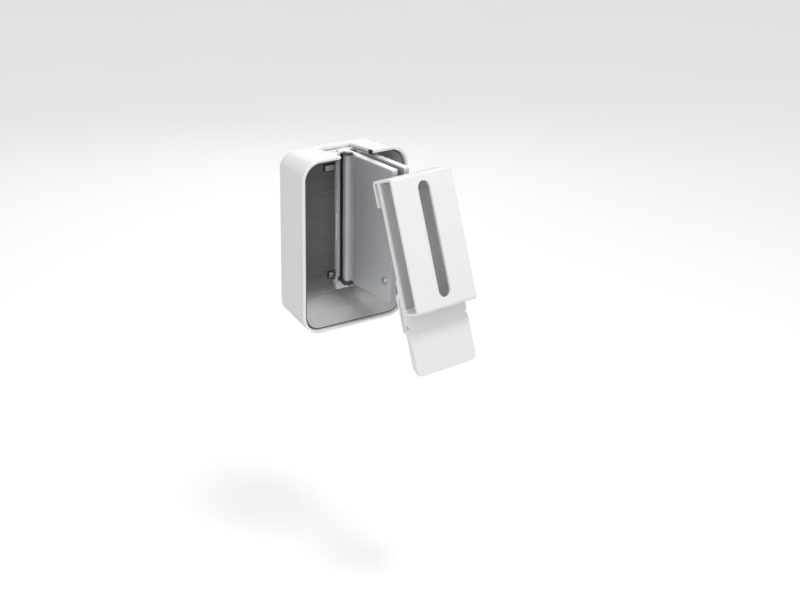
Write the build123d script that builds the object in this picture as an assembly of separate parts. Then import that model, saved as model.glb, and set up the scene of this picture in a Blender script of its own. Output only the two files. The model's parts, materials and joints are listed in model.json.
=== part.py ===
from build123d import *
import os
from math import cos, radians, sin

# Wall-mounted dispenser: a flared white housing with a steel liner, an arm that swings on a
# vertical hinge, and a hook-on holder that tilts on the arm's end and lifts off upwards.
# Millimetres. X right, Y into the wall, Z up; origin at the middle of the wall plate's back.

# ---- housing ------------------------------------------------------------------------------
HOUSING_W = 125.0        # overall width at the front rim
HOUSING_H = 188.0        # overall height at the front rim
HOUSING_D = 56.0         # wall to rim
HOUSING_R = 21.0         # corner radius at the front rim
FLARE = 5.5              # how much each side steps in from the rim to the wall
SHELL_T = 3.0
RIM_EASE = 0.8
NOTCH_W = 38.4           # opening in the top wall above the hinge
NOTCH_X = 1.0
NOTCH_D = 46.0
STOP_T = 2.0             # rubber stop on the notch's right edge
STOP_L = 5.0
STOP_H = 4.4
STOP_BACK = 1.6          # behind the rim

LINER_GAP = 1.2          # dark line between the shell and the liner
LINER_T = 1.0
LINER_RECESS = 2.5       # liner edge behind the rim
LINER_BACK = 4.4         # liner's visible back face, in front of the wall
LINER_CUT = 0.8          # liner's cut-outs stand off other pieces by this
LINER_TOP_D = 20.0       # depth of the liner's top wall over the arm's sweep
LINER_CUT_DROP = 6.0     # below the arm's cheeks
LINER_SWEEP_R = 30.0     # floor-to-back bend
LINER_SWEEP_DROP = 6.0   # how far the bend starts below the floor at the back
LINER_TOP_R = 6.0
SEAL_D = 4.0
SEAL_INSET = 9.0         # seal strip behind the rim
SEAL_FIT = 0.03
SEAL_NOTCH = 2.0         # seal's end to the notch

PLATE_T = 2.4            # wall plate
PLATE_GAP = 0.4
WALL_HOLE_R = 3.25
WALL_HOLE_X = 70.0       # hole to hole
WALL_HOLE_Z = 120.0
LUG_W = 12.0
LUG_D = 9.0
LUG_T = 3.0
LUG_X = 36.0
SHELL_HOLE_R = 1.7
GRUB_R = 1.6             # thread hole
GRUB_L = 7.0
GRUB_SINK = 0.6
THREAD_FIT = 0.02        # a grub screw's radius under its hole's

# ---- hinge --------------------------------------------------------------------------------
HINGE_X = 12.0
HINGE_Y = -20.4
HINGE_PIN_R = 2.5
PIN_FIT = 0.03           # radial running clearance
SEAT_FIT = 0.01          # radial, pieces that sit on the pin
END_PLAY = 0.1
PIN_COVER = 0.3          # bearing above the pin
CARRIER_X0 = 6.4
CARRIER_X1 = 24.0
CARRIER_FRONT = 8.0      # carrier's front face, in front of the wall
FOOT_TOP = -62.0
FOOT_T = 8.5
FOOT_X0 = 3.4
FOOT_FRONT = 12.0
PIN_HEAD_R = 4.2
PIN_HEAD_T = 1.8
LOWER_R = 6.4
LOWER_STEM_W = 9.0
BEARING_R = 8.6
BEARING_T = 1.6
BEARING_SINK = 0.4       # below the arm's cheeks
BEARING_STEM_W = 12.0    # stem from the bearing to the carrier
BEARING_CLEAR = 0.8      # bearing's edge to the arm's recess
WASHER_T = 0.25
WASHER_R = 4.6
STRIP_W = 4.0
STRIP_T = 1.0
CAP_T = 1.4
CAP_X0 = -17.6
CAP_FRONT = 24.0
CAP_BACK = 3.4
CAP_R = 3.0
SWEEP_GAP = 0.8          # fixed pieces to the swinging root

# ---- arm ----------------------------------------------------------------------------------
ARM_YAW = 5.0            # the arm's angle from square at rest, outer end to the right
SWING_MAX = 25.0         # and at its right-hand limit
ARM_L = 80.0             # hinge axis to outer end
ARM_LEFT = 4.8           # hinge axis to left face
CHEEK_T = 6.6
ARM_SLOT_W = 7.7
ARM_TOP_CLEAR = 0.5      # arm's top above the shell's inner face at the wall
ARM_BOTTOM = -56.0
BARREL_R = 5.0
BARREL_BOTTOM = -58.0
ROOT_BACK = 7.5          # root's reach behind the hinge axis
ROOT_R = 7.0
NECK_DEPTH = 3.8         # recess of the neck behind the left face
NECK_START = 9.5
FACE_START = 19.0
SLOT_START = 10.6
TOP_PLATE_T = 1.6
TOP_SLOT_BACK = 3.0      # plate's slot start behind the hinge axis
TOP_ROOT_R = 11.2        # plate's half disc behind the hinge axis
CORE_START = 12.0
CORE_END = 61.0
CORE_SINK = 2.0
LOCK_BACK = 10.0         # lock screw behind the outer end
LOCK_UP = 21.0           # and above the bottom
LOCK_R = 2.0
LOCK_HEAD_R = 3.8
LOCK_HEAD_T = 2.2
LOCK_HEAD_EASE = 1.3
LOCK_HEX_R = 1.25
LOCK_HEX_DEPTH = 1.5
LOCK_BLIND = 1.5         # metal left at the screw's end
LOCK_SPACER_R = 4.6

# ---- tilt bracket -------------------------------------------------------------------------
TILT_REST = 20.0         # holder's angle from upright at rest, bottom outwards
PIVOT_BACK = 6.5         # tilt pin behind the arm's outer end
PIVOT_Z = 75.0
PIVOT_R = 2.5
PIVOT_INSET = 0.5
KNUCKLE_R = 5.4
KNUCKLE_BACK = 2.2       # neck's reach behind the tilt pin
KNUCKLE_CLEAR = 0.2      # each side, between the cheeks
NECK_DROP = 1.3          # neck's top below the tilt pin
NECK_H = 17.0
HOOK_PLATE_T = 3.0
HOOK_PLATE_W = 66.0
HOOK_PLATE_H = 25.0
HOOK_PLATE_R = 3.0
HOOK_CLEAR = 0.9         # plate to the hook flange
BRACKET_SCREW_R = 1.6
BRACKET_SCREW_HEAD_R = 3.0
BRACKET_SCREW_PITCH = 8.0
BRACKET_SCREW_DROP = 1.5 # the pair below the neck's middle
BRACKET_HOLE_L = 10.0
BRACKET_SCREW_L = 8.0
BRACKET_SCREW_SINK = 0.05
BRACKET_SCREW_HEX_R = 1.1

# ---- holder -------------------------------------------------------------------------------
HOLDER_W = 75.0
SLEEVE_H = 135.0
SLEEVE_D = 30.6
COVER_T = 2.6
COVER_R = 3.4            # outside bend radius
COVER_INNER_R = 0.8
HOLDER_BACK_F = 10.5     # hook flange's back, in front of the tilt pin, holder upright
HOLDER_TOP = 2.0         # sleeve's top above the tilt pin
HOOK_FLANGE_H = 26.5
HOOK_SLOT_W = 10.0
HOOK_SLOT_CLEAR = 0.3    # top of the hook's slot above the bracket's neck
HOOK_GAP = 4.3           # flange to back plate
RETURN_H = 6.5
OBLONG_W = 15.0
OBLONG_TOP = 8.0         # end of the long slot below the sleeve's top
OBLONG_BOTTOM = 10.5
BACK_T = 4.0
TONGUE_L = 62.0          # tongue below the sleeve
TONGUE_R = 7.0
RELIEF_R = 2.2
RELIEF_DROP = 12.0       # edge relief below the sleeve
PAD_T = 0.8
PAD_MARGIN = 1.5
PAD_GAP = 1.0            # above the return and under the top
STIFF_T = 2.4
STIFF_GAP = 0.3
STIFF_TOP = 36.0         # stiffener's top above the sleeve's bottom
STIFF_UP = 3.5           # stiffener's bottom above the tongue's end
TAPE_MARGIN = 2.0
TAPE_TOP = 1.0
CLIP_DROP = 113.0        # lower clip's top below the sleeve's top
CLIP_H = 40.0
CLIP_T = 2.6
CLIP_LIP = 5.2
CLIP_CHAMFER = 1.8
RIVET_R = 1.2
RIVET_HEAD_R = 2.2
RIVET_PITCH = 44.0
RIVET_DROP = 1.9         # below the return's edge

# ---- small pieces on the liner ------------------------------------------------------------
TAB_H = 6.0
TAB_T = 1.4
TAB_SEAT_T = 1.0
TAB_SEAT_EDGE = 0.9
TAB_GAP = 0.2            # tab to carrier
TAB_R = 1.0
TAB_SCREW_R = 1.1
TAB_SCREW_IN = 3.0       # from the tab's end
TAB_SCREW_HEAD_R = 1.9
TAB_SCREW_HEAD_T = 0.8
TAB_SCREW_HEX_R = 0.8
TAB_SCREW_HEX_DEPTH = 0.6
TAB_HOLE_EASE = 0.2      # the liner's hole round the screw
TAB_SCREW_END = 0.2      # to the wall plate
TABS = {"upper_tab": (-7.1, 65.0), "lower_tab": (-2.6, -55.0)}   # left end, middle height
SPRING_Z = (-16.0, 14.0)
SPRING_T = 1.0
SPRING_W = 2.4
SPRING_SET = 0.4         # behind the carrier's face
SPRING_R = 0.7
SNAP_Y = -20.0
SNAP_Z = 72.0
SNAP_W = 5.0
SNAP_H = 4.0
SNAP_T = 1.2
SNAP_LIP = 1.8
SNAP_GAP = 0.25          # to the liner's wall at the clip's back
CARRIER_SCREW_X = 20.0
CARRIER_SCREW_R = 2.0
CARRIER_SCREW_HEAD_R = 3.7
CARRIER_SCREW_SINK = 0.1
CARRIER_SCREW_END = 0.4  # to the wall
CARRIER_SCREW_HEX_R = 1.3
CARRIER_SCREW_Z = (-46.0, 8.0, 62.0)
HEX_DEPTH = 1.2
OVER = 1.0               # how far a cutter runs past what it cuts
WALL_REACH = 20.0        # cutters that start at the wall

# ---- worked out ---------------------------------------------------------------------------
ARM_TOP = HOUSING_H / 2 - FLARE - SHELL_T + ARM_TOP_CLEAR
ARM_W = 2 * CHEEK_T + ARM_SLOT_W
ARM_RIGHT = ARM_W - ARM_LEFT
SLOT_X0 = CHEEK_T - ARM_LEFT
SLOT_MID = SLOT_X0 + ARM_SLOT_W / 2
CHEEK_TOP = ARM_TOP - TOP_PLATE_T
BEARING_TOP = CHEEK_TOP - BEARING_SINK
BEARING_BOTTOM = BEARING_TOP - BEARING_T
BARREL_TOP = BEARING_BOTTOM - WASHER_T - END_PLAY
FLANGE_F = HOLDER_BACK_F + COVER_T
PLATE_BACK_F = FLANGE_F + HOOK_CLEAR
BACK_F = FLANGE_F + HOOK_GAP
SLEEVE_F = HOLDER_BACK_F + SLEEVE_D
SLEEVE_BOTTOM = HOLDER_TOP - SLEEVE_H
TONGUE_BOTTOM = SLEEVE_BOTTOM - TONGUE_L
LIP_F = BACK_F + BACK_T + COVER_T
RIVET_X = (-RIVET_PITCH / 2, RIVET_PITCH / 2)
RIVET_Z = SLEEVE_BOTTOM + RETURN_H - RIVET_DROP
PIVOT_L = ARM_L - PIVOT_BACK
LOWER_TOP = BARREL_BOTTOM - END_PLAY
LOCK_Y = -ARM_L + LOCK_BACK
LOCK_Z = ARM_BOTTOM + LOCK_UP
ARM_PLACE = Location((HINGE_X, HINGE_Y, 0), (0, 0, ARM_YAW))
HOLDER_PLACE = ARM_PLACE * Location((SLOT_MID, -PIVOT_L, PIVOT_Z), (-TILT_REST, 0, 0))


def block(x0, x1, y0, y1, z0, z1):
    """A plain block between two corners."""
    return Pos((x0 + x1) / 2, (y0 + y1) / 2, (z0 + z1) / 2) * Box(x1 - x0, y1 - y0, z1 - z0)


def rod(radius, z0, z1, x=0.0, y=0.0):
    """An upright round rod."""
    return Pos(x, y, (z0 + z1) / 2) * Cylinder(radius, z1 - z0)


def rod_x(radius, x0, x1, y, z):
    """A round rod along X."""
    return Pos((x0 + x1) / 2, y, z) * Rot(0, 90, 0) * Cylinder(radius, x1 - x0)


def rod_y(radius, y0, y1, x, z):
    """A round rod along Y."""
    return Pos(x, (y0 + y1) / 2, z) * Rot(90, 0, 0) * Cylinder(radius, y1 - y0)


def cone_y(r_front, r_back, y_front, y_back, x, z):
    """A cone along Y, for a countersink or a countersunk head."""
    face = Plane.XZ.offset(-y_front) * Pos(x, z) * Circle(r_front)
    back = Plane.XZ.offset(-y_back) * Pos(x, z) * Circle(r_back)
    return loft([face, back])


def countersink(head_r, shank_r, y_face, x, z, sink=0.0):
    """The 45 degree cone of a countersunk head in a face that looks forward."""
    return cone_y(head_r - sink, shank_r, y_face + sink, y_face + head_r - shank_r, x, z)


def hex_socket(radius, depth, y_face, x, z):
    """Cutter for a hex socket in a face that looks forward."""
    return extrude(Plane.XZ.offset(-y_face) * Pos(x, z) * RegularPolygon(radius, 6), -depth)


def housing_outline(y, inset):
    """The housing's rounded outline at depth y, drawn in by inset."""
    step = FLARE * (1 + y / HOUSING_D) + inset
    outline = RectangleRounded(HOUSING_W - 2 * step, HOUSING_H - 2 * step, HOUSING_R - step)
    return Plane.XZ.offset(-y) * outline


def housing_prism(y_front, y_back, inset):
    """The flared housing form between two depths, drawn in by inset."""
    return loft([housing_outline(y_front, inset), housing_outline(y_back, inset)])


def notch_cut(margin=0.0):
    """The room of the top wall's notch."""
    half = NOTCH_W / 2 + margin
    return block(NOTCH_X - half, NOTCH_X + half, -HOUSING_D - OVER, -HOUSING_D + NOTCH_D + margin,
                 HOUSING_H / 4, HOUSING_H / 2 + OVER)


def swing_reach():
    """How far behind the hinge axis the arm's rounded root reaches at the right-hand limit."""
    corner = Vector(ARM_RIGHT - ROOT_R, ROOT_BACK - ROOT_R).rotate(Axis.Z, SWING_MAX)
    return corner.Y + ROOT_R


def sweep_right(depth):
    """How far right of the hinge axis the right cheek lies, depth in front of it, at that limit."""
    return (ARM_RIGHT + depth * sin(radians(SWING_MAX))) / cos(radians(SWING_MAX))


def housing_shell():
    shell = housing_prism(-HOUSING_D, 0, 0) - housing_prism(-HOUSING_D, 0, SHELL_T)
    rim = shell.faces().sort_by(Axis.Y)[0].outer_wire().edges()
    shell = chamfer(rim, RIM_EASE)
    shell -= notch_cut()
    for x in (-LUG_X, LUG_X):
        shell -= rod(SHELL_HOLE_R, -HOUSING_H / 2 - OVER, -HOUSING_H / 4, x, -lug_hole_y())
    return shell


def lug_hole_y():
    """The grub screws' distance from the wall."""
    return PLATE_T + LUG_D / 2


def wall_plate():
    step = FLARE + SHELL_T + PLATE_GAP
    outline = RectangleRounded(HOUSING_W - 2 * step, HOUSING_H - 2 * step, HOUSING_R - step)
    plate = extrude(Plane.XZ * outline, PLATE_T)
    for x in (-WALL_HOLE_X / 2, WALL_HOLE_X / 2):
        for z in (-WALL_HOLE_Z / 2, WALL_HOLE_Z / 2):
            plate -= rod_y(WALL_HOLE_R, -PLATE_T - OVER, OVER, x, z)
    z0 = -HOUSING_H / 2 + step
    for x in (-LUG_X, LUG_X):
        plate += block(x - LUG_W / 2, x + LUG_W / 2, -PLATE_T - LUG_D, -PLATE_T / 2, z0, z0 + LUG_T)
        plate -= rod(GRUB_R, z0 - OVER, z0 + LUG_T + OVER, x, -lug_hole_y())
    for z in CARRIER_SCREW_Z:
        plate -= rod_y(CARRIER_SCREW_R, -PLATE_T - OVER, OVER, CARRIER_SCREW_X, z)
    return plate


def shell_screws():
    z0 = -HOUSING_H / 2 + FLARE * (1 - lug_hole_y() / HOUSING_D) + GRUB_SINK
    return [rod(GRUB_R - THREAD_FIT, z0, z0 + GRUB_L, x, -lug_hole_y()) for x in (-LUG_X, LUG_X)]


def liner_profile(grow):
    """The liner's side view as a solid across the housing, drawn out by grow."""
    front = -HOUSING_D - OVER
    back = -LINER_BACK + grow
    high = HOUSING_H / 2 - SHELL_T - LINER_GAP - LINER_T + grow
    low = -high + FLARE * (1 - LINER_BACK / HOUSING_D)
    solid = block(-HOUSING_W, HOUSING_W, front, back,
                  low - LINER_SWEEP_DROP, high)
    edges = solid.edges().filter_by(Axis.X).group_by(Axis.Y)[-1].sort_by(Axis.Z)
    solid = fillet(edges[0], LINER_SWEEP_R + LINER_SWEEP_DROP + grow)
    top = solid.edges().filter_by(Axis.X).group_by(Axis.Z)[-1].sort_by(Axis.Y)[-1]
    return fillet(top, LINER_TOP_R + grow)


def liner_tray():
    y_back = -LINER_BACK + 2 * LINER_T
    outside = housing_prism(-HOUSING_D + LINER_RECESS, y_back, SHELL_T + LINER_GAP)
    inside = housing_prism(-HOUSING_D, y_back, SHELL_T + LINER_GAP + LINER_T)
    tray = (outside & liner_profile(LINER_T)) - (inside & liner_profile(0))
    tray -= notch_cut(LINER_CUT)
    front = -HOUSING_D + LINER_TOP_D
    right = HINGE_X + sweep_right(HINGE_Y - front) + LINER_CUT
    tray -= block(NOTCH_X - NOTCH_W / 2 - LINER_CUT, right, front, 0,
                  CHEEK_TOP - LINER_CUT_DROP, HOUSING_H / 2)
    reach = -FOOT_FRONT - LINER_CUT
    tray -= block(FOOT_X0 - LINER_CUT, CARRIER_X1 + LINER_CUT, reach, 0,
                  FOOT_TOP - FOOT_T - LINER_CUT, FOOT_TOP + LINER_CUT)
    tray -= block(CARRIER_X0 - LINER_CUT, CARRIER_X1 + LINER_CUT, reach, 0, FOOT_TOP, HOUSING_H / 2)
    for x0, z in TABS.values():
        tray -= rod_y(TAB_SCREW_R + TAB_HOLE_EASE, reach, 0, x0 + TAB_SCREW_IN, z)
    return tray


def swing_stop():
    """Rubber stop on the notch's right edge, just behind the rim."""
    x1 = NOTCH_X + NOTCH_W / 2
    y0 = -HOUSING_D + STOP_BACK
    z1 = HOUSING_H / 2 - RIM_EASE
    return block(x1 - STOP_T, x1, y0, y0 + STOP_L, z1 - STOP_H, z1)


def liner_seal():
    """Rubber strip in the gap between shell and liner."""
    y0 = -HOUSING_D + SEAL_INSET
    outside = housing_prism(y0, y0 + SEAL_D, SHELL_T + SEAL_FIT)
    inside = housing_prism(y0 - OVER, y0 + SEAL_D + OVER, SHELL_T + LINER_GAP - SEAL_FIT)
    return outside - inside - notch_cut(SEAL_NOTCH)


def hinge_carrier():
    low = FOOT_TOP - FOOT_T
    carrier = block(CARRIER_X0, CARRIER_X1, -CARRIER_FRONT, -PLATE_T, low, BEARING_BOTTOM)
    carrier += block(FOOT_X0, CARRIER_X1, -FOOT_FRONT, -PLATE_T, low, FOOT_TOP)
    carrier -= block(HINGE_X - STRIP_W / 2, HINGE_X + STRIP_W / 2, -CARRIER_FRONT - OVER,
                     -CARRIER_FRONT + STRIP_T / 2, LOWER_TOP, BEARING_BOTTOM + OVER)
    for z in CARRIER_SCREW_Z:
        carrier -= rod_y(CARRIER_SCREW_R, -CARRIER_FRONT - OVER, 0, CARRIER_SCREW_X, z)
        carrier -= countersink(CARRIER_SCREW_HEAD_R, CARRIER_SCREW_R, -CARRIER_FRONT,
                               CARRIER_SCREW_X, z)
    return carrier


def carrier_screws():
    screws = []
    y0 = -CARRIER_FRONT + CARRIER_SCREW_SINK
    for z in CARRIER_SCREW_Z:
        screw = rod_y(CARRIER_SCREW_R, y0, -CARRIER_SCREW_END, CARRIER_SCREW_X, z)
        screw += countersink(CARRIER_SCREW_HEAD_R, CARRIER_SCREW_R, -CARRIER_FRONT,
                             CARRIER_SCREW_X, z, CARRIER_SCREW_SINK)
        screws.append(screw - hex_socket(CARRIER_SCREW_HEX_R, HEX_DEPTH, y0, CARRIER_SCREW_X, z))
    return screws


def hinge_pin():
    pin = rod(HINGE_PIN_R, FOOT_TOP, BEARING_TOP - PIN_COVER, HINGE_X, HINGE_Y)
    return pin + rod(PIN_HEAD_R, FOOT_TOP - PIN_HEAD_T, FOOT_TOP, HINGE_X, HINGE_Y)


def pin_bore(z0, z1):
    """Cutter for the pin's seat in a bearing or washer."""
    return rod(HINGE_PIN_R + SEAT_FIT, z0, z1, HINGE_X, HINGE_Y)


def lower_bearing():
    """Black bearing block on the carrier's foot, under the barrel."""
    bearing = rod(LOWER_R, FOOT_TOP, LOWER_TOP, HINGE_X, HINGE_Y)
    bearing += block(HINGE_X - LOWER_STEM_W / 2, HINGE_X + LOWER_STEM_W / 2, HINGE_Y,
                     -CARRIER_FRONT, FOOT_TOP, LOWER_TOP)
    return bearing - pin_bore(FOOT_TOP - OVER, LOWER_TOP + OVER)


def thrust_washer():
    z0 = BEARING_BOTTOM - WASHER_T
    washer = rod(WASHER_R, z0, BEARING_BOTTOM, HINGE_X, HINGE_Y)
    return washer - pin_bore(z0 - OVER, BEARING_BOTTOM + OVER)


def upper_bearing():
    """Black bearing block on the carrier's top end, round the pin."""
    bearing = rod(BEARING_R, BEARING_BOTTOM, BEARING_TOP, HINGE_X, HINGE_Y)
    bearing += block(HINGE_X - BEARING_STEM_W / 2, HINGE_X + BEARING_STEM_W / 2, HINGE_Y,
                     -PLATE_T, BEARING_BOTTOM, BEARING_TOP)
    return bearing - pin_bore(BEARING_BOTTOM - OVER, BEARING_TOP - PIN_COVER)


def friction_strip():
    return block(HINGE_X - STRIP_W / 2, HINGE_X + STRIP_W / 2, -CARRIER_FRONT - STRIP_T / 2,
                 -CARRIER_FRONT + STRIP_T / 2, LOWER_TOP, BEARING_BOTTOM)


def carrier_cap():
    """Thin cover plate beside and behind the arm's root, level with the arm."""
    cap = block(CAP_X0, CARRIER_X1, -CAP_FRONT, -CAP_BACK, BEARING_TOP, BEARING_TOP + CAP_T)
    corner = cap.edges().filter_by(Axis.Z).sort_by(Axis.X)[:2].sort_by(Axis.Y)[0]
    cap = fillet(corner, CAP_R)
    cap -= block(HINGE_X, CARRIER_X1 + OVER, -CAP_FRONT - OVER, HINGE_Y + swing_reach() + SWEEP_GAP,
                 0, HOUSING_H)
    return cap - rod(swing_reach() + SWEEP_GAP, 0, HOUSING_H, HINGE_X, HINGE_Y)


def liner_tab(name):
    x0, z = TABS[name]
    y1 = -LINER_BACK - TAB_SEAT_T
    tab = block(x0, CARRIER_X0 - TAB_GAP, y1 - TAB_T, y1, z - TAB_H / 2, z + TAB_H / 2)
    tab = fillet(tab.edges().filter_by(Axis.Y).group_by(Axis.X)[0], TAB_R)
    return tab - rod_y(TAB_SCREW_R, -WALL_REACH, 0, x0 + TAB_SCREW_IN, z)


def tab_seats():
    seats = []
    for x0, z in TABS.values():
        half = TAB_H / 2 + TAB_SEAT_EDGE
        seat = block(x0 - TAB_SEAT_EDGE, CARRIER_X0 - TAB_SEAT_EDGE, -LINER_BACK - TAB_SEAT_T, -LINER_BACK,
                     z - half, z + half)
        hole = rod_y(TAB_SCREW_R, -WALL_REACH, 0, x0 + TAB_SCREW_IN, z)
        seats.append((seat & liner_profile(0)) - hole)
    return seats


def tab_screws():
    screws = []
    for x0, z in TABS.values():
        y0 = -LINER_BACK - TAB_SEAT_T - TAB_T
        x = x0 + TAB_SCREW_IN
        screw = rod_y(TAB_SCREW_R, y0, -PLATE_T - TAB_SCREW_END, x, z)
        screw += rod_y(TAB_SCREW_HEAD_R, y0 - TAB_SCREW_HEAD_T, y0, x, z)
        screws.append(screw - hex_socket(TAB_SCREW_HEX_R, TAB_SCREW_HEX_DEPTH,
                                         y0 - TAB_SCREW_HEAD_T, x, z))
    return screws


def side_spring():
    """Leaf spring clipped on the carrier's left side."""
    y0 = -CARRIER_FRONT + SPRING_SET
    leaf = block(CARRIER_X0 - SPRING_T, CARRIER_X0, y0, y0 + SPRING_W, *SPRING_Z)
    return fillet(leaf.edges().filter_by(Axis.Y).group_by(Axis.X)[0], SPRING_R)


def snap_clips():
    """Small hooked clips that hold the liner's side walls."""
    clips = []
    for side in (-1, 1):
        for z in (-SNAP_Z, SNAP_Z):
            wall = (HOUSING_W / 2 - FLARE * (1 + (SNAP_Y + SNAP_W) / HOUSING_D)
                    - SHELL_T - LINER_GAP - LINER_T - SNAP_GAP)
            x0, x1 = sorted((side * wall, side * (wall - SNAP_T)))
            clip = block(x0, x1, SNAP_Y, SNAP_Y + SNAP_W, z - SNAP_H / 2, z + SNAP_H / 2)
            x0, x1 = sorted((side * wall, side * (wall - SNAP_LIP - SNAP_T)))
            clip += block(x0, x1, SNAP_Y, SNAP_Y + SNAP_W, z + SNAP_H / 2 - SNAP_T, z + SNAP_H / 2)
            clips.append(clip)
    return clips


def arm_outline():
    """The arm seen from above without its barrel: neck, two faces and a rounded root."""
    neck_x = -ARM_LEFT + NECK_DEPTH
    outline = make_face(Polyline((neck_x, ROOT_BACK), (ARM_RIGHT, ROOT_BACK), (ARM_RIGHT, -ARM_L),
                                 (-ARM_LEFT, -ARM_L), (-ARM_LEFT, -FACE_START),
                                 (neck_x, -NECK_START), close=True))
    back = outline.vertices().group_by(Axis.Y)[-1]
    return fillet(back.sort_by(Axis.X)[-1], ROOT_R)


def slot_room(y0, y1, z0, z1):
    """The room between the cheeks."""
    return block(SLOT_X0, SLOT_X0 + ARM_SLOT_W, y0, y1, z0, z1)


def arm_body():
    """Aluminium arm: two cheeks joined at the root, with the hinge barrel."""
    body = Pos(0, 0, ARM_BOTTOM) * extrude(arm_outline(), CHEEK_TOP - ARM_BOTTOM)
    body += rod(BARREL_R, BARREL_BOTTOM, CHEEK_TOP)
    top = CHEEK_TOP + OVER
    body -= slot_room(-ARM_L - OVER, -SLOT_START, ARM_BOTTOM - OVER, top)
    body -= rod(BEARING_R + BEARING_CLEAR, BARREL_TOP, top)
    body -= block(-ARM_W, ARM_W, 0, ARM_W, BARREL_TOP, top)
    body -= rod(HINGE_PIN_R + PIN_FIT, BARREL_BOTTOM - OVER, top)
    body -= rod_x(PIVOT_R, -ARM_LEFT - OVER, ARM_RIGHT + OVER, -PIVOT_L, PIVOT_Z)
    return body - rod_x(LOCK_R, -ARM_LEFT - OVER, ARM_RIGHT - LOCK_BLIND, LOCK_Y, LOCK_Z)


def arm_top_plate():
    """Anodised plate along the arm's top, with the long slot in it."""
    plate = Pos(0, 0, CHEEK_TOP) * extrude(arm_outline(), TOP_PLATE_T)
    plate += rod(BARREL_R, CHEEK_TOP, ARM_TOP)
    plate += rod(TOP_ROOT_R, CHEEK_TOP, ARM_TOP) & block(-ARM_W, ARM_W, 0, ARM_W, CHEEK_TOP, ARM_TOP)
    low, high = CHEEK_TOP - OVER, ARM_TOP + OVER
    end = TOP_SLOT_BACK - ARM_SLOT_W / 2
    plate -= slot_room(-ARM_L - OVER, end, low, high)
    return plate - rod(ARM_SLOT_W / 2, low, high, SLOT_MID, end)


def core_strip():
    """Black filler between the cheeks, sunk below their edges."""
    return slot_room(-CORE_END, -CORE_START, ARM_BOTTOM + CORE_SINK, CHEEK_TOP - CORE_SINK)


def pivot_pin():
    return rod_x(PIVOT_R, -ARM_LEFT + PIVOT_INSET, ARM_RIGHT - PIVOT_INSET, -PIVOT_L, PIVOT_Z)


def lock_spacer():
    spacer = rod_x(LOCK_SPACER_R, SLOT_X0, SLOT_X0 + ARM_SLOT_W, LOCK_Y, LOCK_Z)
    return spacer - rod_x(LOCK_R, SLOT_X0 - OVER, SLOT_X0 + ARM_SLOT_W + OVER, LOCK_Y, LOCK_Z)


def lock_screw():
    """Button-head screw through the cheeks near the lower outer corner."""
    face_x = -ARM_LEFT - LOCK_HEAD_T
    shank = rod_x(LOCK_R, -ARM_LEFT, ARM_RIGHT - LOCK_BLIND, LOCK_Y, LOCK_Z)
    head = rod_x(LOCK_HEAD_R, face_x, -ARM_LEFT, LOCK_Y, LOCK_Z)
    head = fillet(head.edges().group_by(Axis.X)[0], LOCK_HEAD_EASE)
    hexagon = Plane.YZ.offset(face_x) * Pos(LOCK_Y, LOCK_Z) * RegularPolygon(LOCK_HEX_R, 6)
    return shank + head - extrude(hexagon, LOCK_HEX_DEPTH)


def tilt_knuckle():
    """Block on the tilt pin, between the cheeks, with the neck that carries the hook plate."""
    half = ARM_SLOT_W / 2 - KNUCKLE_CLEAR
    knuckle = rod_x(KNUCKLE_R, -half, half, 0, 0)
    knuckle += block(-half, half, -PLATE_BACK_F, KNUCKLE_BACK, -NECK_DROP - NECK_H, -NECK_DROP)
    knuckle -= rod_x(PIVOT_R + PIN_FIT, -half - OVER, half + OVER, 0, 0)
    for z in bracket_screw_heights():
        knuckle -= rod_y(BRACKET_SCREW_R, -PLATE_BACK_F - OVER, -PLATE_BACK_F + BRACKET_HOLE_L, 0, z)
    return knuckle


def bracket_screw_heights():
    mid = -NECK_DROP - NECK_H / 2 - BRACKET_SCREW_DROP
    return (mid - BRACKET_SCREW_PITCH / 2, mid + BRACKET_SCREW_PITCH / 2)


def bracket_countersink(z, sink=0.0):
    return countersink(BRACKET_SCREW_HEAD_R, BRACKET_SCREW_R, -PLATE_BACK_F - HOOK_PLATE_T, 0, z, sink)


def hook_plate():
    """Plate that the holder's hook hangs on."""
    top = HOLDER_TOP - COVER_T
    y1 = -PLATE_BACK_F
    half = HOOK_PLATE_W / 2
    plate = block(-half, half, y1 - HOOK_PLATE_T, y1, top - HOOK_PLATE_H, top)
    plate = fillet(plate.edges().filter_by(Axis.Y), HOOK_PLATE_R)
    for z in bracket_screw_heights():
        plate -= rod_y(BRACKET_SCREW_R, y1 - HOOK_PLATE_T - OVER, y1 + OVER, 0, z)
        plate -= bracket_countersink(z)
    return plate


def bracket_screws():
    screws = []
    y0 = -PLATE_BACK_F - HOOK_PLATE_T + BRACKET_SCREW_SINK
    for z in bracket_screw_heights():
        screw = rod_y(BRACKET_SCREW_R, y0, -PLATE_BACK_F + BRACKET_SCREW_L, 0, z)
        screw += bracket_countersink(z, BRACKET_SCREW_SINK)
        screws.append(screw - hex_socket(BRACKET_SCREW_HEX_R, HEX_DEPTH, y0, 0, z))
    return screws


def cover_path(inset):
    """The cover's folded line in (y, z), drawn in by inset from its outside face."""
    back, front = -HOLDER_BACK_F - inset, -SLEEVE_F + inset
    top, bottom = HOLDER_TOP - inset, SLEEVE_BOTTOM + inset
    lip = -BACK_F - BACK_T - inset
    points = ((back, HOLDER_TOP - HOOK_FLANGE_H), (back, top), (front, top), (front, bottom),
              (lip, bottom), (lip, SLEEVE_BOTTOM + RETURN_H))
    return FilletPolyline(*points, radius=COVER_R if inset == 0 else COVER_INNER_R)


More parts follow.
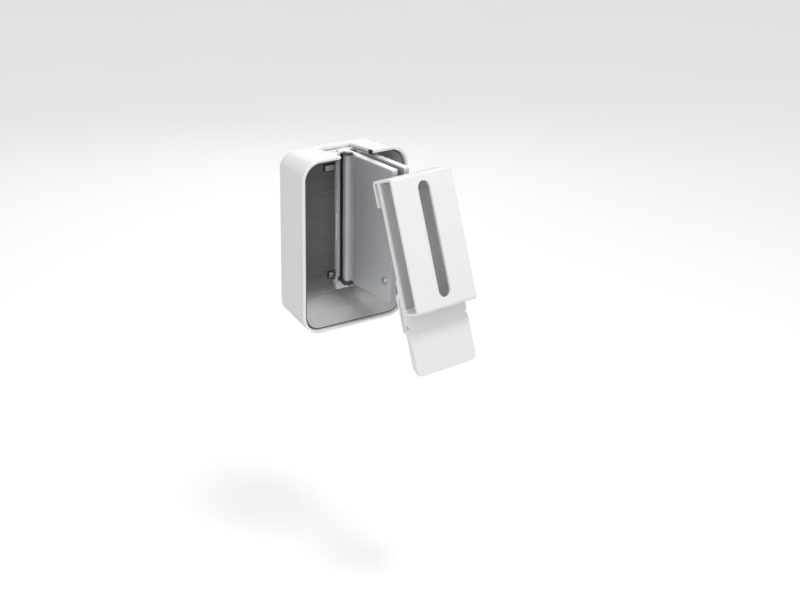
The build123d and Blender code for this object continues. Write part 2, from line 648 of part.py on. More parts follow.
def holder_cover():
    """One folded sheet: hook flange, top, front with the long slot, bottom and return."""
    outer, inner = cover_path(0), cover_path(COVER_T)
    ends = [Line(outer @ 0, inner @ 0), Line(outer @ 1, inner @ 1)]
    face = make_face([*outer.edges(), *inner.edges(), *ends])
    cover = extrude(Plane.YZ.offset(-HOLDER_W / 2) * face, HOLDER_W)
    slot_h = SLEEVE_H - OBLONG_TOP - OBLONG_BOTTOM
    slot_z = HOLDER_TOP - OBLONG_TOP - slot_h / 2
    slot = Plane.XZ.offset(SLEEVE_F + OVER) * Pos(0, slot_z) * SlotOverall(slot_h, OBLONG_W, rotation=90)
    cover -= extrude(slot, -COVER_T - 2 * OVER)
    cover -= block(-HOOK_SLOT_W / 2, HOOK_SLOT_W / 2, -FLANGE_F - OVER / 2, -HOLDER_BACK_F + OVER,
                   HOLDER_TOP - HOOK_FLANGE_H - OVER, -NECK_DROP + HOOK_SLOT_CLEAR)
    for x in RIVET_X:
        cover -= rod_y(RIVET_R, -LIP_F - OVER, -BACK_F, x, RIVET_Z)
    return cover


def tongue_sheet(y0, y1, z0, z1, radius):
    """A plate across the holder with rounded lower corners."""
    sheet = block(-HOLDER_W / 2, HOLDER_W / 2, y0, y1, z0, z1)
    return fillet(sheet.edges().filter_by(Axis.Y).group_by(Axis.Z)[0], radius)


def holder_back():
    """Back plate of the sleeve, which runs on below it as the tongue."""
    back = tongue_sheet(-BACK_F - BACK_T, -BACK_F, TONGUE_BOTTOM, HOLDER_TOP - COVER_T, TONGUE_R)
    z = SLEEVE_BOTTOM - RELIEF_DROP
    for x in (-HOLDER_W / 2, HOLDER_W / 2):
        back -= rod_y(RELIEF_R, -BACK_F - BACK_T - OVER, -BACK_F + OVER, x, z)
    for x in RIVET_X:
        back -= rod_y(RIVET_R, -BACK_F - BACK_T - OVER, -BACK_F + OVER, x, RIVET_Z)
        back -= rivet_cone(x)
    return back


def holder_pad():
    """Grey liner on the back plate, inside the sleeve."""
    half = HOLDER_W / 2 - PAD_MARGIN
    y0 = -BACK_F - BACK_T
    return block(-half, half, y0 - PAD_T, y0, SLEEVE_BOTTOM + RETURN_H + PAD_GAP,
                 HOLDER_TOP - COVER_T - PAD_GAP)


def tongue_stiffener():
    """Second sheet behind the tongue."""
    top = SLEEVE_BOTTOM + STIFF_TOP
    y1 = -BACK_F + STIFF_GAP + STIFF_T
    return tongue_sheet(-BACK_F + STIFF_GAP, y1, TONGUE_BOTTOM + STIFF_UP, top, TONGUE_R)


def stiffener_tape():
    """Thin bonding tape between the back plate and the stiffener."""
    top = SLEEVE_BOTTOM + STIFF_TOP
    half = HOLDER_W / 2 - TAPE_MARGIN
    tape = block(-half, half, -BACK_F, -BACK_F + STIFF_GAP, TONGUE_BOTTOM + STIFF_UP + TONGUE_R,
                 top - TAPE_TOP)
    return tape


def lower_clip():
    """Bent clip low on the holder's back, in line with the hook flange."""
    z1 = HOLDER_TOP - CLIP_DROP
    z0 = z1 - CLIP_H
    y_in = -BACK_F + STIFF_GAP + STIFF_T
    clip = block(-HOLDER_W / 2, HOLDER_W / 2, y_in, -HOLDER_BACK_F, z0, z1)
    gap = -HOLDER_BACK_F - y_in - CLIP_T
    clip -= block(-HOLDER_W, HOLDER_W, y_in - OVER, y_in + gap, z0 + CLIP_T, z1 - CLIP_LIP)
    outer = clip.edges().filter_by(Axis.X).group_by(Axis.Y)[-1]
    return chamfer(outer, CLIP_CHAMFER)


def rivet_cone(x):
    """The rivet's countersunk tail in the back plate."""
    return cone_y(RIVET_R, RIVET_HEAD_R, -BACK_F - RIVET_HEAD_R + RIVET_R, -BACK_F, x, RIVET_Z)


def cover_rivets():
    rivets = []
    for x in RIVET_X:
        rivets.append(rod_y(RIVET_R, -LIP_F, -BACK_F, x, RIVET_Z) + rivet_cone(x))
    return rivets


def as_node(shapes, place=None):
    """One shape for a node: the pieces as a compound, moved to their place."""
    shapes = shapes if isinstance(shapes, list) else [shapes]
    solids = [solid for shape in shapes for solid in shape.solids()]
    shape = solids[0] if len(solids) == 1 else Compound(children=solids)
    return place * shape if place else shape


def build():
    """Every node by name."""
    housing = {
        "housing_shell": housing_shell(), "wall_plate": wall_plate(), "shell_screws": shell_screws(),
        "liner_tray": liner_tray(), "liner_seal": liner_seal(), "snap_clips": snap_clips(),
        "swing_stop": swing_stop(),
        "hinge_carrier": hinge_carrier(), "carrier_screws": carrier_screws(),
        "carrier_cap": carrier_cap(), "friction_strip": friction_strip(), "hinge_pin": hinge_pin(),
        "lower_bearing": lower_bearing(), "thrust_washer": thrust_washer(),
        "upper_bearing": upper_bearing(), "upper_tab": liner_tab("upper_tab"),
        "lower_tab": liner_tab("lower_tab"), "tab_seats": tab_seats(), "tab_screws": tab_screws(),
        "side_spring": side_spring(),
    }
    arm = {
        "arm_body": arm_body(), "arm_top_plate": arm_top_plate(), "core_strip": core_strip(),
        "pivot_pin": pivot_pin(), "lock_spacer": lock_spacer(), "lock_screw": lock_screw(),
    }
    holder = {
        "tilt_knuckle": tilt_knuckle(), "hook_plate": hook_plate(),
        "bracket_screws": bracket_screws(), "holder_cover": holder_cover(),
        "holder_back": holder_back(), "holder_pad": holder_pad(),
        "tongue_stiffener": tongue_stiffener(), "stiffener_tape": stiffener_tape(),
        "lower_clip": lower_clip(), "cover_rivets": cover_rivets(),
    }
    nodes = {name: as_node(shape) for name, shape in housing.items()}
    nodes.update({name: as_node(shape, ARM_PLACE) for name, shape in arm.items()})
    nodes.update({name: as_node(shape, HOLDER_PLACE) for name, shape in holder.items()})
    return nodes


os.makedirs("parts", exist_ok=True)
for node_name, node_shape in build().items():
    export_step(node_shape, f"parts/{node_name}.step")
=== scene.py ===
"""Looks of a wall-mounted dispenser: housing, swing arm, tilt bracket and hook-on holder."""
import json
import logging
import math
from dataclasses import dataclass
from enum import Enum
from typing import Any

import bmesh
import bpy
from mathutils import Euler, Matrix, Vector


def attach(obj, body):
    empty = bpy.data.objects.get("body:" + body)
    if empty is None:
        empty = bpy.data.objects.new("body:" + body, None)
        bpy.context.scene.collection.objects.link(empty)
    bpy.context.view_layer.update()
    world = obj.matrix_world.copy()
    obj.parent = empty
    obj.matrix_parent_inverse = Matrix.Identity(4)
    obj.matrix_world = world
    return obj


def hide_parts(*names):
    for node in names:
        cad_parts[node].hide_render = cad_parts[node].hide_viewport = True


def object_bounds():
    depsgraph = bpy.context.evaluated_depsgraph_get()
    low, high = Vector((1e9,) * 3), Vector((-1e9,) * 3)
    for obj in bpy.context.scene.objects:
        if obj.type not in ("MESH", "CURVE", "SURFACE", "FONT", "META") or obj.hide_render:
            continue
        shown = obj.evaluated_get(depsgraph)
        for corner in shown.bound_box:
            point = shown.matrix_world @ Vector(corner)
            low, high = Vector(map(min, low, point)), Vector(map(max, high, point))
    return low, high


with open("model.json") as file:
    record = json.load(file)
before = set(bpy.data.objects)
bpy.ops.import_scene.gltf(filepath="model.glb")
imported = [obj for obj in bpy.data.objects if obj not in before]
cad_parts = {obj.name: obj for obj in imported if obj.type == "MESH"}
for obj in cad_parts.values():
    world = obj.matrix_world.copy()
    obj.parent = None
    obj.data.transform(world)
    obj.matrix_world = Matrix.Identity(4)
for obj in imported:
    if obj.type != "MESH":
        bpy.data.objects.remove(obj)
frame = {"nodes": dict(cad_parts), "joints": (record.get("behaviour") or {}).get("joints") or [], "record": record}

CAD_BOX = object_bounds()
LOG = logging.getLogger("dispenser")
MM = 0.001
WELD = 1e-6                    # metres, corners of a CAD copy nearer than this are one
FLAT = math.radians(0.4)       # faces that meet under this angle are one face
SHARP = math.radians(28.0)     # edges over this angle are softened
GLOSS = 0.5                    # specular level of a plain coat
SENSOR_WIDTH = 36.0            # millimetres
CLIP = (0.05, 50.0)            # metres, what the camera sees
TURNED_FACE = [(0.6, 0.0), (0.85, 1.0)]      # where the brush lines change over to a side face
PAINTED_SHADE_STOPS = [(0.25, 0.0), (0.95, 1.0)]    # where the painted light of the side faces gives way to the painted shade of the forward-facing ones
LINE_STOPS = [(0.30, 0.0), (0.70, 1.0)]
SPECK_STOPS = [(0.74, 0.0), (0.80, 1.0)]
ROOM_STOPS = [(0.0, 0.04), (0.47, 0.06), (0.55, 0.26), (0.75, 0.52), (1.0, 0.60)]
LEFT_STOPS = [(0.55, 0.0), (0.85, 1.0)]
LOW_STOPS = [(0.35, 1.0), (0.60, 0.0)]
LOW_LEFT_GLOW = 0.6            # how bright the room is low on the left
SEEN_GREY = (0.93, 0.93, 0.93)               # what the camera sees behind the object
Colour = tuple[float, float, float]


class Grain(Enum):
    """The way that a brushed or drawn grain runs on its piece."""

    ACROSS = (1, 0, 0)
    FORWARD = (0, 1, 0)
    UPRIGHT = (0, 0, 1)


class Body(Enum):
    """The moving bodies, by the name that each has in the frame."""

    HOUSING = "housing"
    ARM = "arm"
    BRACKET = "tilt_bracket"
    HOLDER = "holder"


class Value:
    """A number or vector in a node tree that takes part in Python sums."""

    def __init__(self, graph: "Graph", socket: bpy.types.NodeSocket) -> None:
        """Keep the tree and the output socket."""
        self.graph = graph
        self.socket = socket

    def _sum(self, operation: str, first: "Value | float", second: "Value | float") -> "Value":
        """One Math node.

        Args:
            operation: the Math node's operation.
            first: its first number.
            second: its second number.

        Returns:
            The result.
        """
        made = self.graph.node("ShaderNodeMath", {"operation": operation}, {0: first, 1: second})
        return Value(self.graph, made.outputs[0])

    def __add__(self, other: "Value | float") -> "Value":
        """Sum."""
        return self._sum("ADD", self, other)

    def __mul__(self, other: "Value | float") -> "Value":
        """Product."""
        return self._sum("MULTIPLY", self, other)

    def __sub__(self, other: "Value | float") -> "Value":
        """Difference."""
        return self._sum("SUBTRACT", self, other)

    def __rsub__(self, other: float) -> "Value":
        """Difference from a plain number."""
        return self._sum("SUBTRACT", other, self)

    def __abs__(self) -> "Value":
        """Size without its sign."""
        return self._sum("ABSOLUTE", self, 0.0)


class Graph:
    """The node tree of a material or of the world."""

    def __init__(self, tree: bpy.types.NodeTree) -> None:
        """Take a tree and clear it."""
        self.tree = tree
        tree.nodes.clear()

    def node(self, kind: str, settings: dict[str, Any] | None = None,
             inputs: dict[str | int, Any] | None = None) -> bpy.types.Node:
        """Add a node.

        Args:
            kind: the node's type.
            settings: its own properties, set first; "stops" fills a colour ramp.
            inputs: plain values or links, by socket name or number.

        Returns:
            The node.
        """
        made = self.tree.nodes.new(kind)
        for key, setting in (settings or {}).items():
            if key == "stops":
                self._fill(made.color_ramp, setting)
            else:
                setattr(made, key, setting)
        for key, value in (inputs or {}).items():
            if isinstance(value, Value):
                self.tree.links.new(value.socket, made.inputs[key])
            else:
                made.inputs[key].default_value = value
        return made

    @staticmethod
    def _fill(ramp: bpy.types.ColorRamp, stops: list[tuple[float, float]]) -> None:
        """Set a ramp's stops.

        Args:
            ramp: the colour ramp.
            stops: place and grey level of each stop.
        """
        while len(ramp.elements) < len(stops):
            ramp.elements.new(1.0)
        for element, (place, grey) in zip(ramp.elements, stops):
            element.position = place
            element.color = (grey, grey, grey, 1.0)

    def value(self, node: bpy.types.Node, output: str | int = 0) -> Value:
        """A node's output as a value."""
        return Value(self, node.outputs[output])

    def coordinates(self, cell: Vector, turn: Euler) -> Value:
        """Object coordinates turned to the piece and divided into cells.

        Args:
            cell: the size of a cell along the piece's own axes, in metres.
            turn: the piece's turn in the row frame.

        Returns:
            The coordinates, one unit to a cell.
        """
        place = self.value(self.node("ShaderNodeTexCoord"), "Object")
        return self.value(self.node("ShaderNodeMapping", {"vector_type": "TEXTURE"},
                                    {"Vector": place, "Rotation": turn, "Scale": cell}))

    def noise(self, cell: Vector, turn: Euler, detail: float = 2.0, rough: float = 0.5) -> Value:
        """Soft noise with cells of a given size.

        Args:
            cell: the size of its grain along the piece's own axes, in metres.
            turn: the piece's turn.
            detail: how many finer layers it has.
            rough: how strong they are.

        Returns:
            The noise, about 0 to 1.
        """
        made = self.node("ShaderNodeTexNoise", {"noise_dimensions": "3D"},
                         {"Vector": self.coordinates(cell, turn), "Scale": 1.0, "Detail": detail,
                          "Roughness": rough})
        return self.value(made, 0)

    def facing(self, way: Grain) -> Value:
        """How squarely a face looks along an axis, 0 to 1."""
        normal = self.value(self.node("ShaderNodeTexCoord"), "Normal")
        split = self.node("ShaderNodeSeparateXYZ", None, {0: normal})
        return abs(self.value(split, way.value.index(1)))

    def ramp(self, factor: Value, stops: list[tuple[float, float]]) -> Value:
        """A grey ramp."""
        return self.value(self.node("ShaderNodeValToRGB", {"stops": stops}, {0: factor}))

    def mix(self, factor: "Value | float", first: "Value | Colour",
            second: "Value | Colour") -> Value:
        """Mix two colours.

        Args:
            factor: 0 for the first, 1 for the second.
            first: a colour.
            second: a colour.

        Returns:
            The mixed colour.
        """
        ends = [(*c, 1.0) if isinstance(c, tuple) else c for c in (first, second)]
        made = self.node("ShaderNodeMix", {"data_type": "RGBA"},
                         {0: factor, 6: ends[0], 7: ends[1]})
        return Value(self, made.outputs[2])

    def bump(self, height: Value, depth: float, strength: float = 1.0) -> Value:
        """A normal from a height.

        Args:
            height: the height, 0 to 1.
            depth: what a height of 1 stands for, in metres.
            strength: how much of it is felt.

        Returns:
            The normal.
        """
        made = self.node("ShaderNodeBump", None,
                         {"Height": height, "Distance": depth, "Strength": strength})
        return self.value(made)

    def surface(self, inputs: dict[str, Any]) -> None:
        """Close a material with its shader.

        Args:
            inputs: the shader's sockets by name.
        """
        shader = self.value(self.node("ShaderNodeBsdfPrincipled", None, inputs))
        self.node("ShaderNodeOutputMaterial", None, {"Surface": shader})


def new_graph(name: str) -> tuple[bpy.types.Material, Graph]:
    """Make an empty material.

    Args:
        name: the material's name.

    Returns:
        The material and its graph.
    """
    material = bpy.data.materials.new(name)
    material.use_nodes = True
    return material, Graph(material.node_tree)


def cube_cell(size: float) -> Vector:
    """A cell with the same size each way."""
    return Vector((size, size, size))


def shade(colour: Colour, factor: float) -> Colour:
    """A colour made lighter or darker."""
    return tuple(min(1.0, c * factor) for c in colour)


@dataclass(frozen=True)
class PowderCoat:
    """Satin powder coat with a fine orange peel and a trace of handling."""

    colour: Colour
    roughness: float = 0.40
    peel: float = 0.9 * MM
    depth: float = 0.018 * MM
    cloud: float = 38 * MM

    def material(self, name: str, turn: Euler) -> bpy.types.Material:
        """Make the material.

        Args:
            name: its name.
            turn: the piece's turn.

        Returns:
            The material.
        """
        made, graph = new_graph(name)
        peel = graph.noise(cube_cell(self.peel), turn, 1.0)
        cloud = graph.noise(cube_cell(self.cloud), turn, 3.0, 0.6)
        speck = graph.ramp(graph.noise(cube_cell(self.peel * 2.2), turn, 0.0), SPECK_STOPS)
        base = graph.mix(cloud, shade(self.colour, 0.975), shade(self.colour, 1.02))
        graph.surface({
            "Base Color": graph.mix(speck * 0.05, base, shade(self.colour, 0.75)),
            "Roughness": cloud * 0.12 + (peel * 0.06 + (self.roughness - 0.09)),
            "Specular IOR Level": GLOSS,
            "Normal": graph.bump(peel, self.depth),
        })
        return made


@dataclass(frozen=True)
class BrushedMetal:
    """Sheet metal with long brush lines in two widths.

    With a side colour, the faces that look forward wear the main colour as painted shade and the others wear that
    one as painted light.
    """

    colour: Colour
    grain: Grain = Grain.ACROSS
    roughness: float = 0.32
    length: float = 26 * MM
    fine: float = 0.22 * MM
    coarse: float = 1.3 * MM
    contrast: float = 0.30
    depth: float = 0.010 * MM
    metallic: float = 1.0
    # painted light: a pale tone for the faces that do not look forward, while the main colour stays as painted
    # shade
    painted_light_colour: Colour | None = None

    def _lines(self, graph: Graph, grain: Grain, width: float, turn: Euler) -> Value:
        """Brush lines that run one way.

        Args:
            graph: the material's graph.
            grain: the way that they run.
            width: a line's width, in metres.
            turn: the piece's turn.

        Returns:
            The lines, about 0 to 1.
        """
        cell = Vector([self.length if along else width for along in grain.value])
        return graph.noise(cell, turn, 3.0, 0.65)

    def _both(self, graph: Graph, width: float, turn: Euler) -> Value:
        """Lines that turn the corner onto the faces that the main ones would run into."""
        main = self._lines(graph, self.grain, width, turn)
        side_grain = Grain.FORWARD if self.grain is Grain.ACROSS else Grain.ACROSS
        side = self._lines(graph, side_grain, width, turn)
        turned = graph.ramp(graph.facing(self.grain), TURNED_FACE)
        return side * turned + main * (1 - turned)

    def material(self, name: str, turn: Euler) -> bpy.types.Material:
        """Make the material.

        Args:
            name: its name.
            turn: the piece's turn.

        Returns:
            The material.
        """
        made, graph = new_graph(name)
        fine = self._both(graph, self.fine, turn)
        coarse = self._both(graph, self.coarse, turn)
        lines = graph.ramp(fine * 0.45 + coarse * 0.55, LINE_STOPS)
        smudge = graph.noise(cube_cell(30 * MM), turn, 3.0, 0.6)
        tone = graph.mix(lines, shade(self.colour, 1 - self.contrast),
                         shade(self.colour, 1.12))
        # painted light on the side faces and floor, painted shade on the faces that look forward, chosen by which
        # way a face looks
        if self.painted_light_colour:
            side = graph.mix(lines, shade(self.painted_light_colour, 1 - self.contrast / 3),
                             self.painted_light_colour)
            forward = graph.ramp(graph.facing(Grain.FORWARD), PAINTED_SHADE_STOPS)
            tone = graph.mix(forward, side, tone)
        graph.surface({
            "Base Color": tone,
            "Metallic": self.metallic,
            "Roughness": smudge * 0.10 + (lines * 0.12 + (self.roughness - 0.11)),
            "Normal": graph.bump(lines, self.depth),
        })
        return made


@dataclass(frozen=True)
class Anodised:
    """Anodised aluminium: satin etch with faint drawing lines."""

    colour: Colour
    grain: Grain = Grain.UPRIGHT
    roughness: float = 0.44
    etch: float = 0.30 * MM
    depth: float = 0.006 * MM
    metallic: float = 0.68

    def material(self, name: str, turn: Euler) -> bpy.types.Material:
        """Make the material.

        Args:
            name: its name.
            turn: the piece's turn.

        Returns:
            The material.
        """
        made, graph = new_graph(name)
        etch = graph.noise(cube_cell(self.etch), turn, 2.0)
        cell = Vector([60 * MM if along else 0.55 * MM for along in self.grain.value])
        drawn = graph.noise(cell, turn, 3.0, 0.6)
        cloud = graph.noise(cube_cell(45 * MM), turn, 2.0)
        tone = drawn * 0.55 + etch * 0.25 + cloud * 0.20
        graph.surface({
            "Base Color": graph.mix(tone, shade(self.colour, 0.88), shade(self.colour, 1.10)),
            "Metallic": self.metallic,
            "Roughness": etch * 0.10 + (drawn * 0.08 + (self.roughness - 0.09)),
            "Normal": graph.bump(etch * 0.7 + drawn * 0.3, self.depth),
        })
        return made


@dataclass(frozen=True)
class Moulded:
    """Moulded plastic or rubber with a spark-eroded grain."""

    colour: Colour
    roughness: float = 0.55
    pitch: float = 0.5 * MM
    depth: float = 0.02 * MM
    contrast: float = 0.06
    gloss: float = 0.45

    def material(self, name: str, turn: Euler) -> bpy.types.Material:
        """Make the material.

        Args:
            name: its name.
            turn: the piece's turn.

        Returns:
            The material.
        """
        made, graph = new_graph(name)
        pores = graph.noise(cube_cell(self.pitch), turn, 2.0, 0.6)
        cloud = graph.noise(cube_cell(22 * MM), turn, 2.0)
        tone = pores * 0.6 + cloud * 0.4
        graph.surface({
            "Base Color": graph.mix(tone, shade(self.colour, 1 - self.contrast),
                                    shade(self.colour, 1 + self.contrast)),
            "Roughness": pores * 0.14 + (cloud * 0.08 + (self.roughness - 0.11)),
            "Specular IOR Level": self.gloss,
            "Normal": graph.bump(pores, self.depth),
        })
        return made


@dataclass(frozen=True)
class TurnedSteel:
    """Ground or blackened steel of pins and screws."""

    colour: Colour
    roughness: float = 0.22
    metallic: float = 1.0

    def material(self, name: str, turn: Euler) -> bpy.types.Material:
        """Make the material.

        Args:
            name: its name.
            turn: the piece's turn.

        Returns:
            The material.
        """
        made, graph = new_graph(name)
        tool = graph.noise(Vector((0.35 * MM, 0.35 * MM, 0.12 * MM)), turn, 2.0)
        cloud = graph.noise(cube_cell(3 * MM), turn, 2.0)
        graph.surface({
            "Base Color": graph.mix(tool * 0.6 + cloud * 0.4, shade(self.colour, 0.85),
                                    shade(self.colour, 1.12)),
            "Metallic": self.metallic,
            "Roughness": tool * 0.12 + (cloud * 0.10 + (self.roughness - 0.11)),
            "Normal": graph.bump(tool, 0.004 * MM),
        })
        return made


Finish = PowderCoat | BrushedMetal | Anodised | Moulded | TurnedSteel

FINISHES: dict[str, Finish] = {
    "white_coat": PowderCoat((0.83, 0.83, 0.835)),
    "white_moulded": Moulded((0.80, 0.80, 0.80), roughness=0.45, pitch=0.7 * MM, depth=0.012 * MM,
                             contrast=0.02),
    "zinc_plate": BrushedMetal((0.55, 0.57, 0.58), roughness=0.45, contrast=0.12),
    # the dark main colour is painted shade on the liner's back wall; the pale side colour is painted light on its
    # floor and side walls
    "brushed_liner": BrushedMetal((0.17, 0.17, 0.168), metallic=0.36,
                                  painted_light_colour=(0.93, 0.93, 0.92)),
    "silver_anodised": Anodised((0.70, 0.72, 0.76)),
    "pale_anodised": Anodised((0.90, 0.90, 0.93), grain=Grain.FORWARD, metallic=0.4),
    "bright_steel": TurnedSteel((0.72, 0.72, 0.72)),
    "spring_steel": BrushedMetal((0.68, 0.69, 0.70), roughness=0.34, contrast=0.15, length=8 * MM,
                                 coarse=0.6 * MM),
    "black_steel": TurnedSteel((0.045, 0.045, 0.05), roughness=0.38, metallic=0.6),
    "black_acetal": Moulded((0.055, 0.055, 0.06), roughness=0.5),
    "dark_plastic": Moulded((0.09, 0.09, 0.10), roughness=0.5),
    "seal_rubber": Moulded((0.028, 0.028, 0.028), roughness=0.75, pitch=0.8 * MM, gloss=0.3),
    "grey_pad": Moulded((0.50, 0.51, 0.52), roughness=0.8, pitch=1.0 * MM, depth=0.10 * MM,
                        contrast=0.28, gloss=0.25),
}


class Workshop:
    """Holds the frame's facts and the materials, and turns CAD nodes into finished pieces."""

    def __init__(self) -> None:
        """Read the slots and the rest turns of the arm and the holder from the record."""
        self.slots = {s["node"]: s["material_slot"] for s in frame["record"]["subparts"]}
        joints = {j["name"]: j for j in frame["joints"]}
        pin = Vector(joints["holder_tilt"]["axis"])
        lift = Vector(joints["holder_lift"]["axis"])
        yaw = math.atan2(-pin.y, -pin.x)
        tilt = -math.acos(min(1.0, lift.normalized().z))
        self.turns = {Body.HOUSING: Euler((0.0, 0.0, 0.0)), Body.ARM: Euler((0.0, 0.0, yaw)),
                      Body.BRACKET: Euler((tilt, 0.0, yaw)), Body.HOLDER: Euler((tilt, 0.0, yaw))}
        self.materials: dict[tuple[str, Body], bpy.types.Material] = {}

    def material(self, slot: str, body: Body) -> bpy.types.Material:
        """A slot's material, turned to a body.

        Args:
            slot: the record's material slot.
            body: the body that wears it.

        Returns:
            The material, made once.
        """
        key = (slot, body)
        if key not in self.materials:
            self.materials[key] = FINISHES[slot].material(f"{slot}_{body.value}", self.turns[body])
        return self.materials[key]

    def softened(self, node: str, ease: float, segments: int = 3) -> bpy.types.Object:
        """A copy of a CAD node with its sharp edges rounded.

        Args:
            node: the CAD node.
            ease: how far each edge is rounded, in metres.
            segments: faces across the rounding.

        Returns:
            The new object, at the origin.
        """
        bm = bmesh.new()
        bm.from_mesh(frame["nodes"][node].data)
        bmesh.ops.remove_doubles(bm, verts=bm.verts[:], dist=WELD)
        bmesh.ops.dissolve_limit(bm, angle_limit=FLAT, use_dissolve_boundaries=False,
                                 verts=bm.verts[:], edges=bm.edges[:], delimit={"NORMAL"})
        edges = [e for e in bm.edges if e.is_manifold and e.calc_face_angle() > SHARP]
        bmesh.ops.bevel(bm, geom=edges, offset=ease, offset_type="OFFSET", affect="EDGES",
                        segments=segments, profile=0.5, material=-1, clamp_overlap=True)
        for face in bm.faces:
            face.smooth = True
        mesh = bpy.data.meshes.new(f"{node}_finished")
        bm.to_mesh(mesh)
        bm.free()
        piece = bpy.data.objects.new(f"{node}_finished", mesh)
        bpy.context.scene.collection.objects.link(piece)
        weighted = piece.modifiers.new("even_normals", "WEIGHTED_NORMAL")
        weighted.keep_sharp = True
        return piece

    def finish(self, node: str, body: Body, ease: float, segments: int = 3) -> bpy.types.Object:
        """Replace a CAD node by its softened copy in the slot's finish.

        Args:
            node: the CAD node.
            body: the body that it rides on.
            ease: how far its edges are rounded, in metres.
            segments: faces across the rounding.

        Returns:
            The finished piece.
        """
        piece = self.softened(node, ease, segments)
        slot = self.slots[node]
        piece.data.materials.clear()
        piece.data.materials.append(self.material(slot, body))
        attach(piece, body.value)
        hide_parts(node)
        LOG.info("%s: %d faces, %s", node, len(piece.data.polygons), slot)
        return piece


@dataclass
class SubAssembly:
    """Pieces that ride on one body."""

    shop: Workshop
    body: Body

    def eases(self) -> dict[str, float]:
        """Edge rounding of each node, in metres."""
        return {}

    def build(self) -> list[bpy.types.Object]:
        """Make every piece.

        Returns:
            The finished pieces.
        """
        return [self.shop.finish(node, self.body, ease) for node, ease in self.eases().items()]


@dataclass
class Housing(SubAssembly):
    """Shell, liner and wall plate."""

    shell_ease: float = 0.55 * MM
    sheet_ease: float = 0.18 * MM
    small_ease: float = 0.12 * MM

    def eases(self) -> dict[str, float]:
        """Edge rounding of each node, in metres."""
        return {"housing_shell": self.shell_ease, "liner_tray": self.sheet_ease,
                "wall_plate": self.sheet_ease, "liner_seal": self.small_ease,
                "snap_clips": self.small_ease, "shell_screws": self.small_ease,
                "swing_stop": self.small_ease}


@dataclass
class HingeSide(SubAssembly):
    """The fixed half of the hinge, and the tabs beside it."""

    block_ease: float = 0.30 * MM
    small_ease: float = 0.12 * MM

    def eases(self) -> dict[str, float]:
        """Edge rounding of each node, in metres."""
        blocks = {"hinge_carrier": self.block_ease, "carrier_cap": self.small_ease}
        small = ("carrier_screws", "friction_strip", "hinge_pin", "lower_bearing",
                 "thrust_washer", "upper_bearing", "upper_tab", "lower_tab", "tab_seats",
                 "tab_screws", "side_spring")
        return blocks | {node: self.small_ease for node in small}


@dataclass
class SwingArm(SubAssembly):
    """The arm with its plate, core, pin and screw."""

    face_ease: float = 0.35 * MM
    small_ease: float = 0.15 * MM

    def eases(self) -> dict[str, float]:
        """Edge rounding of each node, in metres."""
        small = ("core_strip", "pivot_pin", "lock_spacer", "lock_screw")
        return ({"arm_body": self.face_ease, "arm_top_plate": self.small_ease}
                | {node: self.small_ease for node in small})


@dataclass
class TiltBracket(SubAssembly):
    """Knuckle and hook plate at the arm's end."""

    block_ease: float = 0.30 * MM
    screw_ease: float = 0.10 * MM

    def eases(self) -> dict[str, float]:
        """Edge rounding of each node, in metres."""
        return {"tilt_knuckle": self.block_ease, "hook_plate": self.block_ease,
                "bracket_screws": self.screw_ease}


@dataclass
class Holder(SubAssembly):
    """The folded cover, the back plate with its tongue, and what is fixed to them."""

    sheet_ease: float = 0.45 * MM
    tongue_ease: float = 0.6 * MM
    small_ease: float = 0.1 * MM

    def eases(self) -> dict[str, float]:
        """Edge rounding of each node, in metres."""
        return {"holder_cover": self.sheet_ease, "holder_back": self.tongue_ease,
                "tongue_stiffener": self.sheet_ease, "lower_clip": self.sheet_ease,
                "holder_pad": self.small_ease, "stiffener_tape": self.small_ease,
                "cover_rivets": self.small_ease}


@dataclass(frozen=True)
class Lamp:
    """One soft area light."""

    name: str
    place: Vector
    size: float
    power: float
    colour: Colour = (1.0, 1.0, 1.0)


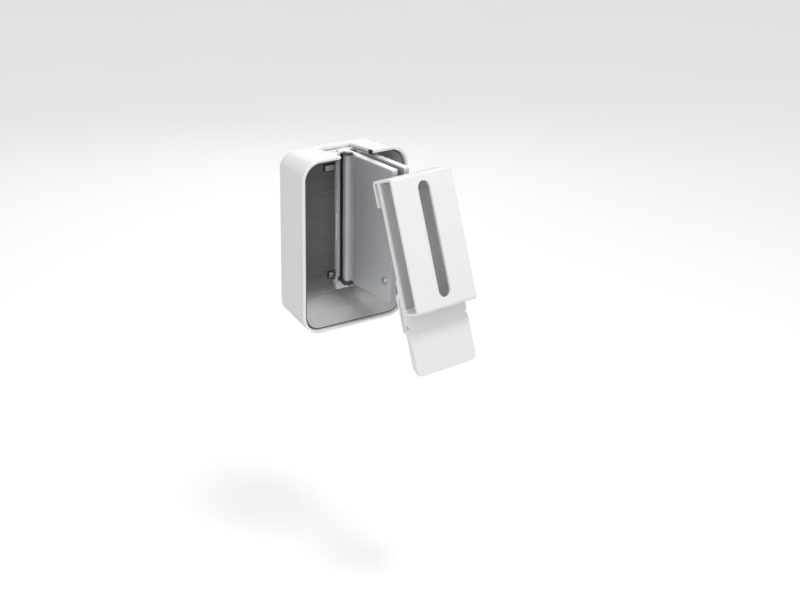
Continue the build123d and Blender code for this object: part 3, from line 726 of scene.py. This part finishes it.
@dataclass
class Studio:
    """Floor, light and camera."""

    floor_drop: float = 0.28
    floor_size: float = 9.0
    azimuth: float = math.radians(-31.0)
    elevation: float = math.radians(20.5)
    distance: float = 1.5384
    lens: float = 67.5
    aim: Vector = Vector((-62.4, -56.4, -94.2)) * MM
    aim_right: float = 30.77 * MM
    aim_up: float = 112.82 * MM
    shift: tuple[float, float] = (0.0825, -0.09)

    def floor(self) -> bpy.types.Object:
        """A plain pale floor below the object.

        Returns:
            The floor.
        """
        bm = bmesh.new()
        bmesh.ops.create_grid(bm, x_segments=2, y_segments=2, size=self.floor_size / 2)
        height = CAD_BOX[0].z - self.floor_drop
        bmesh.ops.translate(bm, vec=Vector((0.0, 0.0, height)), verts=bm.verts[:])
        mesh = bpy.data.meshes.new("floor")
        bm.to_mesh(mesh)
        bm.free()
        made = bpy.data.objects.new("floor", mesh)
        bpy.context.scene.collection.objects.link(made)
        material, graph = new_graph("floor_paint")
        cloud = graph.noise(cube_cell(0.4), Euler(), 2.0)
        graph.surface({"Base Color": graph.mix(cloud, (0.90, 0.90, 0.90), (0.93, 0.93, 0.93)),
                       "Roughness": 0.9, "Specular IOR Level": 0.2,
                       "Emission Color": (1.0, 1.0, 1.0, 1.0), "Emission Strength": 0.25})
        mesh.materials.append(material)
        made.visible_glossy = False
        return made

    def lamps(self) -> None:
        """Soft lights: a key from the upper left, one above, a weak fill and one behind."""
        centre = (CAD_BOX[0] + CAD_BOX[1]) / 2
        lamps = (
            Lamp("key", Vector((-0.95, -0.75, 0.75)), 0.9, 4.4),
            Lamp("above", Vector((0.1, -0.50, 1.35)), 0.45, 9.5),
            Lamp("fill", Vector((0.9, -1.2, 0.25)), 0.9, 1.0),
            Lamp("rear", Vector((0.6, 1.3, 0.6)), 0.9, 3.0),
        )
        for lamp in lamps:
            data = bpy.data.lights.new(lamp.name, "AREA")
            data.shape = "DISK"
            data.size = lamp.size
            data.energy = lamp.power
            data.color = lamp.colour
            made = bpy.data.objects.new(lamp.name, data)
            bpy.context.scene.collection.objects.link(made)
            made.location = centre + lamp.place
            made.rotation_euler = (-lamp.place).to_track_quat("-Z", "Y").to_euler()

    def world(self) -> None:
        """A pale room: bright above and low on the left, darker at eye level and to the right."""
        world = bpy.data.worlds.new("room")
        bpy.context.scene.world = world
        world.use_nodes = True
        graph = Graph(world.node_tree)
        direction = graph.value(graph.node("ShaderNodeTexCoord"), "Generated")
        split = graph.node("ShaderNodeSeparateXYZ", None, {0: direction})
        height = graph.value(split, 2) * 0.5 + 0.5
        room = graph.ramp(height, ROOM_STOPS)
        left = graph.ramp(0.5 - graph.value(split, 0) * 0.5, LEFT_STOPS)
        low = graph.ramp(height, LOW_STOPS)
        seen = graph.value(graph.node("ShaderNodeLightPath"), "Is Camera Ray")
        colour = graph.mix(seen, room + left * low * LOW_LEFT_GLOW, SEEN_GREY)
        shader = graph.value(graph.node("ShaderNodeBackground", None,
                                        {"Color": colour, "Strength": 1.0}))
        graph.node("ShaderNodeOutputWorld", None, {"Surface": shader})

    def camera(self) -> None:
        """The camera, left of the object and a little above it."""
        sine, cosine = math.sin(self.azimuth), math.cos(self.azimuth)
        back = Vector((sine * math.cos(self.elevation), -cosine * math.cos(self.elevation),
                       math.sin(self.elevation)))
        right = Vector((cosine, sine, 0.0))
        up = back.cross(right)
        aim = self.aim + right * self.aim_right + up * self.aim_up
        data = bpy.data.cameras.new("camera")
        data.lens = self.lens
        data.sensor_width = SENSOR_WIDTH
        data.shift_x, data.shift_y = self.shift
        data.clip_start, data.clip_end = CLIP
        made = bpy.data.objects.new("camera", data)
        bpy.context.scene.collection.objects.link(made)
        made.matrix_world = Matrix.Translation(aim + back * self.distance) @ Matrix(
            (right, up, back)).transposed().to_4x4()
        bpy.context.scene.camera = made

    def build(self) -> None:
        """Make everything round the object."""
        self.floor()
        self.lamps()
        self.world()
        self.camera()
        bpy.context.scene.view_settings.view_transform = "Standard"
        LOG.info("studio ready")


def write_sizes() -> None:
    """Update the view layer."""
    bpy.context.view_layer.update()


def main() -> None:
    """Build the sub-assemblies and the studio."""
    logging.basicConfig(level=logging.INFO, format="%(name)s: %(message)s")
    shop = Workshop()
    Studio().build()
    for part in (Housing(shop, Body.HOUSING), HingeSide(shop, Body.HOUSING),
                 SwingArm(shop, Body.ARM), TiltBracket(shop, Body.BRACKET),
                 Holder(shop, Body.HOLDER)):
        pieces = part.build()
        LOG.info("%s: %d pieces", type(part).__name__, len(pieces))
    write_sizes()


if __name__ == "__main__":
    main()
